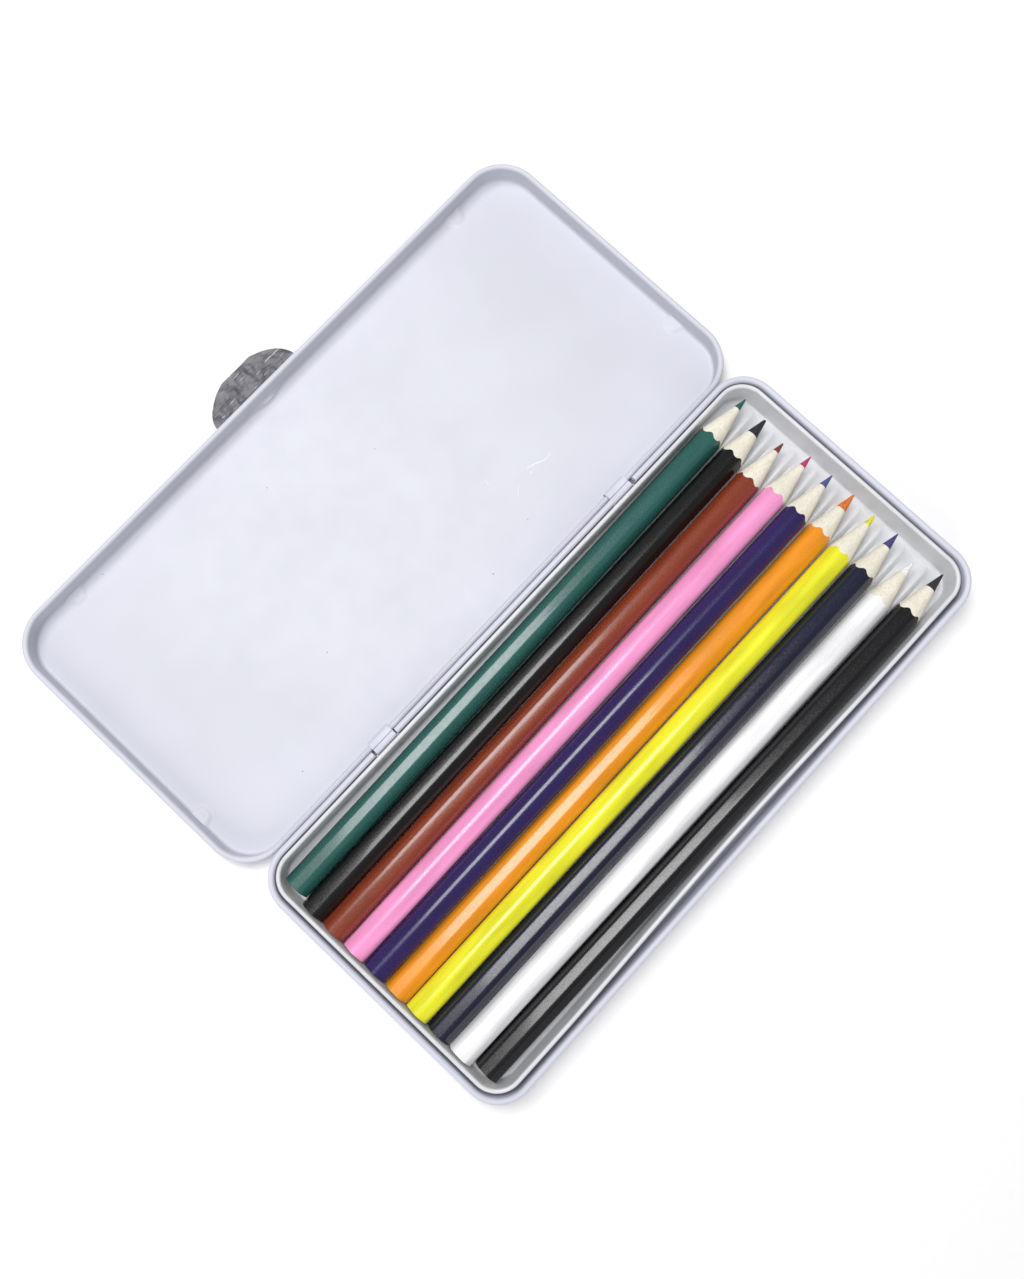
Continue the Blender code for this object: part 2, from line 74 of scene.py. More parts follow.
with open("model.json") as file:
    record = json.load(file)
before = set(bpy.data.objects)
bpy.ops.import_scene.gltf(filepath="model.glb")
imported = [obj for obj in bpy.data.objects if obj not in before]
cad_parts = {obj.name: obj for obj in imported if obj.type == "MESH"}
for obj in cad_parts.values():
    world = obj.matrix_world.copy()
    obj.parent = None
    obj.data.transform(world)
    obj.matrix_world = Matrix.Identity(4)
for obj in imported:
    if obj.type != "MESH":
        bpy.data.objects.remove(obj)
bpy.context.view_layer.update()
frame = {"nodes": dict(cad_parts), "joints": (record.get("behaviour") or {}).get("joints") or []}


def linear(hex_colour):
    """Linear RGB of an sRGB hex colour."""
    values = [int(hex_colour[i : i + 2], 16) / 255 for i in (0, 2, 4)]
    return [v / 12.92 if v <= 0.04045 else ((v + 0.055) / 1.055) ** 2.4 for v in values]


def hinge_axis():
    """Y and Z of the line that the lid turns about."""
    joint = next(j for j in frame["joints"] if j["name"] == "lid_hinge")
    return joint["pos_m"][1], joint["pos_m"][2]


# From the hinge to the front: name, lacquer, lead, roll of the hexagon in degrees, lead size and blunt tip
PENCILS = (
    ("green", "275A55", "1F5B50", -6, 2.0 * MM, 0.15 * MM),
    ("black", "08080A", "2A2A2D", -17, 3.3 * MM, 0.35 * MM),
    ("brown", "843821", "70392C", 6, 1.9 * MM, 0.2 * MM),
    ("pink", "F79ACC", "B5366B", 21, 2.0 * MM, 0.12 * MM),
    ("violet", "281B55", "4A4F86", 28, 2.2 * MM, 0.15 * MM),
    ("orange", "E8901A", "D5742A", -10, 3.0 * MM, 0.2 * MM),
    ("yellow", "E8E62A", "DFD420", 26, 2.0 * MM, 0.2 * MM),
    ("navy", "15172F", "4A3F7A", -8, 2.6 * MM, 0.15 * MM),
    ("white", "F1F1F3", "EFEFEA", -12, 2.4 * MM, 0.15 * MM),
    ("charcoal", "0C0C10", "2E2C2E", -17, 2.9 * MM, 0.2 * MM),
)


def size(name, description, default):
    """Length that a user may change."""
    return FloatProperty(
        name=name, description=description, default=default, unit="LENGTH", subtype="DISTANCE"
    )


def colour(name, description, hex_colour):
    """Colour that a user may change."""
    return FloatVectorProperty(
        name=name, description=description, default=linear(hex_colour), subtype="COLOR", min=0, max=1
    )


class TinSizes(bpy.types.PropertyGroup):
    """Sheet, rims, stops and hinge of the base and the lid."""

    sheet: size("Sheet", "Thickness of the tin plate", 0.3 * MM)
    rim_radius: size("Rim radius", "Outer radius of a rolled rim", 0.8 * MM)
    rim_turn: FloatProperty(
        name="Rim turn", description="How far a rim is rolled", default=math.radians(280), subtype="ANGLE"
    )
    fold_radius: size("Fold radius", "Outer radius between a panel and its wall", 1.2 * MM)
    corner_radius: size("Corner radius", "Radius of the base's rim, seen from above", 10 * MM)
    lid_play: size("Lid play", "Between the base's rim and the lid's wall", 0.4 * MM)
    stop_height: size("Stop height", "How far a stop is pressed in", 0.45 * MM)
    stop_width: size("Stop width", "Width of a stop", 6.4 * MM)
    stop_reach: size("Stop reach", "How far a stop reaches over the panel", 4.2 * MM)
    stop_from_end: size("Stop from end", "Front stops, from the lid's outer end", 21.2 * MM)
    stop_from_hinge: size("Stop from hinge", "End stops, from the rear wall", 19.6 * MM)
    dent_depth: size("Thumb dent", "How far the thumb dent is pressed in", 1.15 * MM)
    dent_width: size("Thumb dent width", "Width of the thumb dent", 15 * MM)
    hinge_spacing: size("Hinge spacing", "Between the middles of the two hinges", 89.5 * MM)
    tongue_width: size("Tongue width", "Width of a hinge tongue", 7 * MM)
    gap: size("Gap", "Between a tongue and the lid's rim", 0.3 * MM)
    corner_steps: IntProperty(name="Corner steps", description="Facets round a corner", default=14, min=3)


class TraySizes(bpy.types.PropertyGroup):
    """Wall, lip and ridges of the tray."""

    sheet: size("Sheet", "Thickness of the plastic", 0.3 * MM)
    corner_radius: size("Corner radius", "Radius of the lip, seen from above", 7.6 * MM)
    lip_radius: size("Lip radius", "Outer radius of the lip", 0.6 * MM)
    lip_drop: size("Lip drop", "How far the lip hangs down outside", 0.8 * MM)
    draft: size("Draft", "How far the wall leans out", 0.3 * MM)
    fold: size("Fold", "Radius between floor and wall", 0.7 * MM)
    ridge_height: size("Ridge height", "Height of the ridges between the pencils", 0.5 * MM)
    ridge_rise: size("Ridge rise", "How much higher the ridges are between the points", 1.4 * MM)
    ridge_width: size("Ridge width", "Width of a ridge at its foot", 3 * MM)
    bow: size("Bow", "How far the front lip bends in", 0.9 * MM)


class PencilSizes(bpy.types.PropertyGroup):
    """Section and point of the pencils."""

    flats: size("Across flats", "Width over two flat sides", 6.85 * MM)
    edge: size("Edge radius", "Rounding of the long edges", 1.9 * MM)
    sharpening: FloatProperty(
        name="Sharpening", description="Half angle of the cone", default=math.radians(13), subtype="ANGLE"
    )


class FilmSizes(bpy.types.PropertyGroup):
    """Flap of packing film."""

    left: size("Left", "Reach along the lid's edge, towards the pencils' butts", 15.5 * MM)
    right: size("Right", "Reach along the lid's edge, towards the pencils' points", 14.2 * MM)
    reach: size("Reach", "Reach of the flap's round edge", 12 * MM)
    thickness: size("Thickness", "Thickness of the film", 0.06 * MM)
    crumple: size("Crumple", "Height of the wrinkles", 1.0 * MM)


class TinColours(bpy.types.PropertyGroup):
    """Colours of the finishes."""

    base_enamel: colour("Base enamel", "Enamel of the base", "D1D2DF")
    lid_enamel: colour("Lid enamel", "Enamel of the lid", "CECFD9")
    tray_plastic: colour("Tray plastic", "White polystyrene", "DCDDE1")
    film: colour("Film", "Packing film, seen through its wrinkles", "53535B")
    wood: colour("Wood", "Sharpened basswood", "ECE6D8")
    wood_grain: colour("Wood grain", "Darker fibres of the basswood", "DAD3C0")


def paint_properties():
    """One lacquer and one lead colour for each pencil."""
    fields = {}
    for name, coat, lead, *_ in PENCILS:
        title = name.capitalize()
        fields[f"{name}_lacquer"] = colour(f"{title} lacquer", f"Lacquer of the {name} pencil", coat)
        fields[f"{name}_lead"] = colour(f"{title} lead", f"Lead of the {name} pencil", lead)
    return fields


PencilColours = type(
    "PencilColours",
    (bpy.types.PropertyGroup,),
    {"__doc__": "Lacquer and lead of each pencil.", "__annotations__": paint_properties()},
)


# Working as by hand


def primitive(kind, name, **settings):
    """Add a mesh primitive, as the only selected object."""
    bpy.ops.object.select_all(action="DESELECT")
    getattr(bpy.ops.mesh, f"primitive_{kind}_add")(**settings)
    piece = bpy.context.active_object
    piece.name = name
    piece.data.name = name
    return piece


def leave():
    """Go back to object mode."""
    if bpy.context.mode != "OBJECT":
        bpy.ops.object.mode_set(mode="OBJECT")


def select_only(piece):
    """Make a piece the only selected object and the active one."""
    leave()
    bpy.ops.object.select_all(action="DESELECT")
    bpy.context.view_layer.objects.active = piece
    piece.select_set(True)


def edit(piece):
    """Go into edit mode on one piece."""
    select_only(piece)
    bpy.ops.object.mode_set(mode="EDIT")
    bpy.ops.mesh.select_mode(type="VERT")


def start_at(name, place):
    """New piece in edit mode that is a single selected point, to draw from."""
    piece = primitive("plane", name, size=MM)
    edit(piece)
    bpy.ops.mesh.select_all(action="SELECT")
    bpy.ops.mesh.merge(type="CENTER")
    bpy.ops.transform.translate(value=place)
    return piece


def pick(piece, kind, inside):
    """Select, in edit mode, only the vertices, edges or faces whose points all pass a test."""
    bpy.ops.mesh.select_mode(type=kind)
    bpy.ops.mesh.select_all(action="DESELECT")
    shape = bmesh.from_edit_mesh(piece.data)
    if kind == "VERT":
        for vert in shape.verts:
            if inside(vert.co):
                vert.select_set(True)
    else:
        for element in shape.edges if kind == "EDGE" else shape.faces:
            if all(inside(vert.co) for vert in element.verts):
                element.select_set(True)
    shape.select_flush_mode()
    bmesh.update_edit_mesh(piece.data)


def extrude(x=0.0, y=0.0, z=0.0):
    """Extrude what is selected."""
    bpy.ops.mesh.extrude_region_move(TRANSFORM_OT_translate={"value": (x, y, z)})


def draw_along(points, unit=1.0):
    """Extrude what is selected from each point of a line to the next."""
    for point, following in zip(points, points[1:]):
        extrude(*((there - here) * unit for here, there in zip(point, following)))


def slice_at(place, normal):
    """Cut new edges through all that is selected, along a plane."""
    bpy.ops.mesh.bisect(plane_co=place, plane_no=normal, use_fill=False, threshold=1e-7)


def slice_all(place, normal):
    """Cut new edges through the whole piece, along a plane."""
    bpy.ops.mesh.select_mode(type="FACE")
    bpy.ops.mesh.select_all(action="SELECT")
    slice_at(place, normal)


def slice_across(middle, width, axis):
    """Cut the whole piece into slices across a width, and once more beyond each end."""
    normal = [0, 0, 0]
    normal[axis] = 1
    outer = SLICES // 2 + 1
    for step in range(-outer, outer + 1):
        place = [0, 0, 0]
        place[axis] = middle + step / SLICES * width
        slice_all(place, normal)


def bake(piece, kind, **settings):
    """Add a modifier to a piece and apply it."""
    select_only(piece)
    step = piece.modifiers.new(kind.lower(), kind)
    for name, value in settings.items():
        setattr(step, name, value)
    bpy.ops.object.modifier_apply(modifier=step.name)


def settle(piece, angle=40):
    """Put a piece's place into its mesh and smooth its shading up to an angle."""
    select_only(piece)
    bpy.ops.object.transform_apply(location=True, rotation=True, scale=True)
    bpy.ops.object.shade_smooth_by_angle(angle=math.radians(angle))


def join(piece, *others):
    """Join other pieces into one."""
    select_only(piece)
    for other in others:
        other.select_set(True)
    bpy.ops.object.join()


def turn_out(piece):
    """Merge doubles and point the faces outwards."""
    edit(piece)
    bpy.ops.mesh.select_all(action="SELECT")
    bpy.ops.mesh.remove_doubles(threshold=0.005 * MM)
    bpy.ops.mesh.normals_make_consistent(inside=False)
    leave()


def thicken(piece, sheet, **settings):
    """Give a surface in edit mode its thickness, half to either side."""
    bpy.ops.mesh.select_all(action="SELECT")
    bpy.ops.mesh.normals_make_consistent(inside=False)
    bake(piece, "SOLIDIFY", thickness=sheet, offset=0.0, use_even_offset=True, **settings)


def arc(centre, radius, start, end, steps):
    """Points of an arc in a profile, the first one left out."""
    angles = [start + (end - start) * (i + 1) / steps for i in range(steps)]
    return [(centre[0] + radius * math.cos(a), centre[1] + radius * math.sin(a)) for a in angles]


def pan(name, profile, half_x, half_y, radius, steps):
    """Pan from one profile, spun round a corner, pulled along the sides, mirrored and floored.

    profile runs from the floor's edge up to the rim, as (distance out from the sides, height). The pan is
    made round the origin, and its object is moved to its place once it is shaped.
    """
    corner = (half_x - radius, half_y - radius)
    inner, floor = profile[0]
    piece = start_at(name, (half_x + inner, corner[1], floor))
    draw_along([(out, 0, high) for out, high in profile])
    bpy.ops.mesh.select_all(action="SELECT")
    bpy.ops.mesh.spin(steps=steps, angle=math.radians(90), center=(*corner, 0), axis=(0, 0, -1))
    furthest = max(vert.co.y for vert in bmesh.from_edit_mesh(piece.data).verts)
    if furthest < half_y - radius / 2:
        raise RuntimeError(f"{name}: the corner was spun the wrong way")
    pick(piece, "EDGE", lambda co: abs(co.y - corner[1]) < TINY)
    extrude(y=-corner[1])
    pick(piece, "EDGE", lambda co: abs(co.x - corner[0]) < TINY and co.y > corner[1] + TINY)
    extrude(x=-corner[0])
    bake(piece, "MIRROR", use_axis=(True, True, False), merge_threshold=0.005 * MM)
    edit(piece)
    pick(
        piece,
        "EDGE",
        lambda co: abs(co.z - floor) < TINY
        and abs(co.x) < half_x + inner + TINY
        and abs(co.y) < half_y + inner + TINY,
    )
    bpy.ops.mesh.edge_face_add()
    return piece


def rolled_rim(wall_out, centre_z, sizes, steps=14):
    """Rim rolled outwards from a wall, starting at the height of its centre."""
    middle = sizes.rim_radius - sizes.sheet / 2
    return arc((wall_out + middle, centre_z), middle, math.pi, math.pi - sizes.rim_turn, steps)


def fold(wall_out, sizes, steps=6):
    """Fold from a panel that lies on the table up to a wall."""
    radius = sizes.fold_radius - sizes.sheet / 2
    centre = (wall_out - radius, sizes.sheet / 2 + radius)
    return [(centre[0], sizes.sheet / 2)] + arc(centre, radius, math.radians(-90), 0, steps)


def press(piece, inside, push, width):
    """Push the points that pass a test, and draw their neighbours along up to half a width away."""
    pick(piece, "VERT", inside)
    bpy.ops.transform.translate(
        value=push,
        use_proportional_edit=True,
        proportional_edit_falloff="SMOOTH",
        proportional_size=width / 2,
        use_proportional_connected=True,
    )


# Finishes


def feed(tree, node, inputs):
    """Link or set the inputs of a node."""
    for name, value in inputs.items():
        socket = node.inputs[name]
        if isinstance(value, bpy.types.NodeSocket):
            tree.links.new(value, socket)
        elif socket.type == "RGBA":
            socket.default_value = (*value[:3], 1.0)
        else:
            socket.default_value = value


def add_node(tree, kind, give, inputs, **settings):
    """Add a node with its settings and links, and give the output asked for."""
    node = tree.nodes.new(kind)
    for name, value in settings.items():
        setattr(node, name, value)
    feed(tree, node, inputs)
    return node.outputs[give]


def new_finish(name):
    """Empty finish: material, node tree, Principled shader and the piece's own coordinates."""
    material = bpy.data.materials.new(name)
    material.use_nodes = True
    tree = material.node_tree
    place = add_node(tree, "ShaderNodeTexCoord", "Object", {})
    return material, tree, tree.nodes["Principled BSDF"], place


def mottle(tree, place, grain, low=0.0, high=1.0, along=1.0, detail=2.0, edges=(0.35, 0.65)):
    """Soft blotches about one grain across, in metres, drawn out along X and spread from low to high."""
    scale = (1 / (grain * along), 1 / grain, 1 / grain)
    stretched = add_node(tree, "ShaderNodeMapping", "Vector", {"Vector": place, "Scale": scale})
    cloud = add_node(tree, "ShaderNodeTexNoise", "Fac", {"Vector": stretched, "Scale": 1.0, "Detail": detail})
    return add_node(
        tree,
        "ShaderNodeMapRange",
        "Result",
        {"Value": cloud, "From Min": edges[0], "From Max": edges[1], "To Min": low, "To Max": high},
    )


def shade(colour_value, factor):
    """A colour made darker or lighter."""
    return [min(1.0, channel * factor) for channel in colour_value]


def enamel(name, tint):
    """Stoving enamel sprayed on tin plate: semi-gloss, with a faint orange peel and a few dust specks."""
    material, tree, shader, place = new_finish(name)
    # Sprayed coats vary in thickness over some 30 mm, which shows as a slight drift in tone.
    drift = mottle(tree, place, 30 * MM)
    coat = add_node(
        tree, "ShaderNodeMix", 2, {0: drift, 6: shade(tint, 0.965), 7: shade(tint, 1.02)}, data_type="RGBA"
    )
    # Dust under the enamel: specks of 0.25 mm, about one to a square of 9 mm.
    cells = add_node(tree, "ShaderNodeTexVoronoi", "Distance", {"Vector": place, "Scale": 1 / (9 * MM)})
    speck = add_node(
        tree,
        "ShaderNodeMapRange",
        "Result",
        {"Value": cells, "From Min": 0.018, "From Max": 0.028, "To Min": 1.0, "To Max": 0.0},
    )
    base = add_node(tree, "ShaderNodeMix", 2, {0: speck, 6: coat, 7: shade(tint, 0.45)}, data_type="RGBA")
    # Handling dulls the gloss in patches of 6 mm.
    gloss = mottle(tree, place, 6 * MM, 0.3, 0.4, detail=3.0, edges=(0.3, 0.7))
    # Orange peel of about 1.3 mm from crest to crest.
    peel = mottle(tree, place, 1.3 * MM, detail=1.0, edges=(0.0, 1.0))
    relief = add_node(
        tree, "ShaderNodeBump", "Normal", {"Height": peel, "Distance": 0.02 * MM, "Strength": 0.5}
    )
    feed(
        tree, shader, {"Base Color": base, "Roughness": gloss, "Normal": relief, "Specular IOR Level": 0.17}
    )
    return material


def crease_highlight_enamel(name, tint):
    """Enamel scuffed white by something hard: matt and powdery."""
    material, tree, shader, place = new_finish(name)
    # Painted highlight: a fine mottle between a lighter enamel and near white.
    highlight_mottle = mottle(tree, place, 0.3 * MM)
    base = add_node(
        tree, "ShaderNodeMix", 2, {0: highlight_mottle, 6: shade(tint, 1.12), 7: (0.95, 0.95, 0.96)}, data_type="RGBA"
    )
    feed(tree, shader, {"Base Color": base, "Roughness": 0.5})
    return material


def polystyrene(name, tint):
    """Thermoformed polystyrene: thin, white, glossy, with marks of the mould and a slight glow."""
    material, tree, shader, place = new_finish(name)
    drift = mottle(tree, place, 8 * MM, detail=3.0)
    base = add_node(tree, "ShaderNodeMix", 2, {0: drift, 6: shade(tint, 0.92), 7: tint}, data_type="RGBA")
    # Texture of the mould, 0.5 mm, over ripples of 4 mm from the drawing.
    grain = mottle(tree, place, 0.5 * MM, 0.0, 0.15, edges=(0.0, 1.0))
    ripple = mottle(tree, place, 4 * MM, detail=1.0, edges=(0.0, 1.0))
    both = add_node(tree, "ShaderNodeMath", "Value", {0: grain, 1: ripple}, operation="ADD")
    relief = add_node(
        tree, "ShaderNodeBump", "Normal", {"Height": both, "Distance": 0.25 * MM, "Strength": 0.4}
    )
    feed(
        tree,
        shader,
        {
            "Base Color": base,
            "Normal": relief,
            "Roughness": 0.32,
            "Subsurface Weight": 0.1,
            "Subsurface Scale": 1.2 * MM,
            "Subsurface Radius": (1.0, 1.0, 1.0),
        },
    )
    return material


def packing_film(name, tint):
    """Cast polypropylene film: grey where its wrinkles catch no light, and white along sharp creases."""
    material, tree, shader, place = new_finish(name)
    # Painted light and shade of the wrinkles: the grey made darker and lighter in clouds of 2.6 mm and in
    # streaks along the flap.
    cloud = mottle(tree, place, 2.6 * MM, along=2.2, detail=3.0)
    # Fine streaks of 0.35 mm, drawn out along the flap.
    streaks = mottle(tree, place, 0.35 * MM, along=9.0)
    both = add_node(tree, "ShaderNodeMath", "Value", {0: cloud, 1: streaks}, operation="ADD")
    half = add_node(tree, "ShaderNodeMath", "Value", {0: both, 1: 0.5}, operation="MULTIPLY")
    wrinkle_light_and_shade = add_node(
        tree, "ShaderNodeMix", 2, {0: half, 6: shade(tint, 0.62), 7: shade(tint, 1.45)}, data_type="RGBA"
    )
    # Painted glints: white streaks of 0.5 mm that run along the flap, where its creases catch the light.
    white = mottle(tree, place, 0.5 * MM, along=14.0, detail=1.0, edges=(0.66, 0.78))
    base = add_node(tree, "ShaderNodeMix", 2, {0: white, 6: wrinkle_light_and_shade, 7: (0.7, 0.7, 0.74)}, data_type="RGBA")
    creases = mottle(tree, place, 0.6 * MM, along=4.0, detail=2.0, edges=(0.0, 1.0))
    relief = add_node(
        tree, "ShaderNodeBump", "Normal", {"Height": creases, "Distance": 0.2 * MM, "Strength": 0.5}
    )
    feed(
        tree,
        shader,
        {"Base Color": base, "Normal": relief, "Roughness": 0.38, "Alpha": 0.92, "IOR": 1.49},
    )
    return material


def lacquer(name, tint):
    """Gloss lacquer dipped on basswood: the coat is even, and grain and dust under it break up its shine."""
    material, tree, shader, place = new_finish(name)
    drift = mottle(tree, place, 2.5 * MM, along=7.0, detail=3.0, edges=(0.3, 0.7))
    base = add_node(
        tree, "ShaderNodeMix", 2, {0: drift, 6: shade(tint, 0.86), 7: shade(tint, 1.12)}, data_type="RGBA"
    )
    gloss = mottle(tree, place, 0.5 * MM, 0.2, 0.34, detail=3.0, edges=(0.3, 0.7))
    # Fibres of 0.35 mm show through the lacquer, drawn out along the pencil.
    fibres = mottle(tree, place, 0.35 * MM, along=6.0, edges=(0.0, 1.0))
    relief = add_node(
        tree, "ShaderNodeBump", "Normal", {"Height": fibres, "Distance": 0.03 * MM, "Strength": 0.5}
    )
    feed(
        tree,
        shader,
        {
            "Base Color": base,
            "Roughness": gloss,
            "Normal": relief,
            "IOR": 1.5,
            "Coat Weight": 0.35,
            "Coat Roughness": 0.08,
        },
    )
    return material


def basswood(name, tint, grain):
    """Basswood cut by a sharpener: pale and matt, with fine fibres."""
    material, tree, shader, place = new_finish(name)
    drift = mottle(tree, place, 7 * MM, detail=1.0)
    plain = add_node(
        tree, "ShaderNodeMix", 2, {0: drift, 6: shade(tint, 0.95), 7: shade(tint, 1.05)}, data_type="RGBA"
    )
    # Fibres of 0.28 mm, nine times as long along the pencil.
    fibres = mottle(tree, place, 0.28 * MM, along=9.0, detail=3.0, edges=(0.42, 0.7))
    base = add_node(tree, "ShaderNodeMix", 2, {0: fibres, 6: plain, 7: grain}, data_type="RGBA")
    relief = add_node(
        tree, "ShaderNodeBump", "Normal", {"Height": fibres, "Distance": 0.04 * MM, "Strength": 0.5}
    )
    feed(tree, shader, {"Base Color": base, "Normal": relief, "Roughness": 0.72, "Specular IOR Level": 0.3})
    return material


def wax_lead(name, tint):
    """Wax-bound lead: dull, with crumbs of 0.4 mm where it was sharpened."""
    material, tree, shader, place = new_finish(name)
    crumbs = mottle(tree, place, 0.4 * MM, detail=3.0)
    base = add_node(
        tree, "ShaderNodeMix", 2, {0: crumbs, 6: shade(tint, 0.75), 7: shade(tint, 1.3)}, data_type="RGBA"
    )
    relief = add_node(
        tree, "ShaderNodeBump", "Normal", {"Height": crumbs, "Distance": 0.04 * MM, "Strength": 0.5}
    )
    feed(tree, shader, {"Base Color": base, "Normal": relief, "Roughness": 0.5, "Specular IOR Level": 0.4})
    return material


def floor_paper(name):
    """White photographic paper, rolled out flat."""
    material, tree, shader, place = new_finish(name)
    fibre = mottle(tree, place, 2 * MM, edges=(0.0, 1.0))
    base = add_node(
        tree, "ShaderNodeMix", 2, {0: fibre, 6: (0.93, 0.93, 0.93), 7: (0.96, 0.96, 0.96)}, data_type="RGBA"
    )
    feed(tree, shader, {"Base Color": base, "Roughness": 0.9, "Specular IOR Level": 0.1})
    return material


def dress(piece, material, body, nodes):
    """Give a finished piece its material, its body, the nodes it stands for and its slot."""
    if material:
        piece.data.materials.clear()
        piece.data.materials.append(material)
    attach(piece, body)
    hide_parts(*nodes)


# Pieces


def hinge_middles(sizes):
    """X of the middles of the two hinges."""
    return [side * sizes.hinge_spacing / 2 for side in (-1, 1)]


def loop_radius(sizes):
    """Radius to the middle of a tongue's sheet, where it wraps the lid's rim."""
    return sizes.rim_radius + sizes.gap + sizes.sheet / 2


class TIN_OT_base(bpy.types.Operator):
    """Model the base, with its rolled rim and its two hinge tongues"""

    bl_idname = "tin.base"
    bl_label = "Base"

    def execute(self, context):
        sizes = context.scene.tin_sizes
        low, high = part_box("base_pan")
        half_x, half_y, top = high[0], -low[1], high[2]
        hinge_z = hinge_axis()[1]
        wall = 2 * sizes.rim_radius - sizes.sheet / 2
        loop = loop_radius(sizes)
        root = hinge_z + loop - loop / 2
        profile = fold(-wall, sizes) + [(-wall, root), (-wall, top - sizes.rim_radius)]
        profile += rolled_rim(-wall, top - sizes.rim_radius, sizes)
        piece = pan("base_tin", profile, half_x, half_y, sizes.corner_radius, sizes.corner_steps)
        half = sizes.tongue_width / 2
        wall_y = half_y - wall
        for middle in hinge_middles(sizes):
            for across in (-half - NOTCH, -half, half, half + NOTCH):
                slice_all((middle + across, 0, 0), (1, 0, 0))
        for middle in hinge_middles(sizes):
            self.cut_gap(piece, middle, half + NOTCH, wall_y, root)
        for middle in hinge_middles(sizes):
            self.bend_tongue(piece, sizes, middle, wall_y, root)
        thicken(piece, sizes.sheet, use_quality_normals=True)
        settle(piece)
        look = enamel("stoving enamel on tin plate, base", context.scene.tin_colours.base_enamel)
        dress(piece, look, "base", ["base_pan"])
        return {"FINISHED"}

    def cut_gap(self, piece, middle, half, wall_y, root):
        """Cut the rim and the top of the rear wall away round a tongue."""
        pick(
            piece,
            "FACE",
            lambda co: abs(co.x - middle) < half + TINY and co.y > wall_y - TINY and co.z > root - TINY,
        )
        bpy.ops.mesh.delete(type="FACE")

    def bend_tongue(self, piece, sizes, middle, wall_y, root):
        """Draw a tongue out of the wall's edge, over its score line and round the lid's rim."""
        hinge_y, hinge_z = hinge_axis()
        loop = loop_radius(sizes)
        pick(
            piece,
            "EDGE",
            lambda co: abs(co.x - middle) < sizes.tongue_width / 2 + TINY
            and abs(co.y - wall_y) < TINY
            and abs(co.z - root) < TINY,
        )
        line = [(wall_y, root)] + arc((wall_y + loop / 2, root), loop / 2, math.pi, math.pi / 2, 5)
        for across, deep in SCORE_LINE:
            line += [(hinge_y - (SCORE_PLACE - across) * MM, hinge_z + loop - deep * MM)]
        line += [(hinge_y, hinge_z + loop)]
        line += arc((hinge_y, hinge_z), loop, math.pi / 2, math.radians(-100), 16)
        draw_along([(0, y, z) for y, z in line])


# Painted highlights of small creases on the lid's panel, as lines of X and Y in mm
CREASE_HIGHLIGHTS = (
    ((34, 65.5), (36, 65), (38, 64), (40, 63.5), (41.5, 64)),
    ((33.5, 64), (34.5, 64)),
    ((26.5, 62), (29, 64)),
    ((23.5, 70), (24, 72)),
    ((22.5, 67.5), (23, 68)),
)


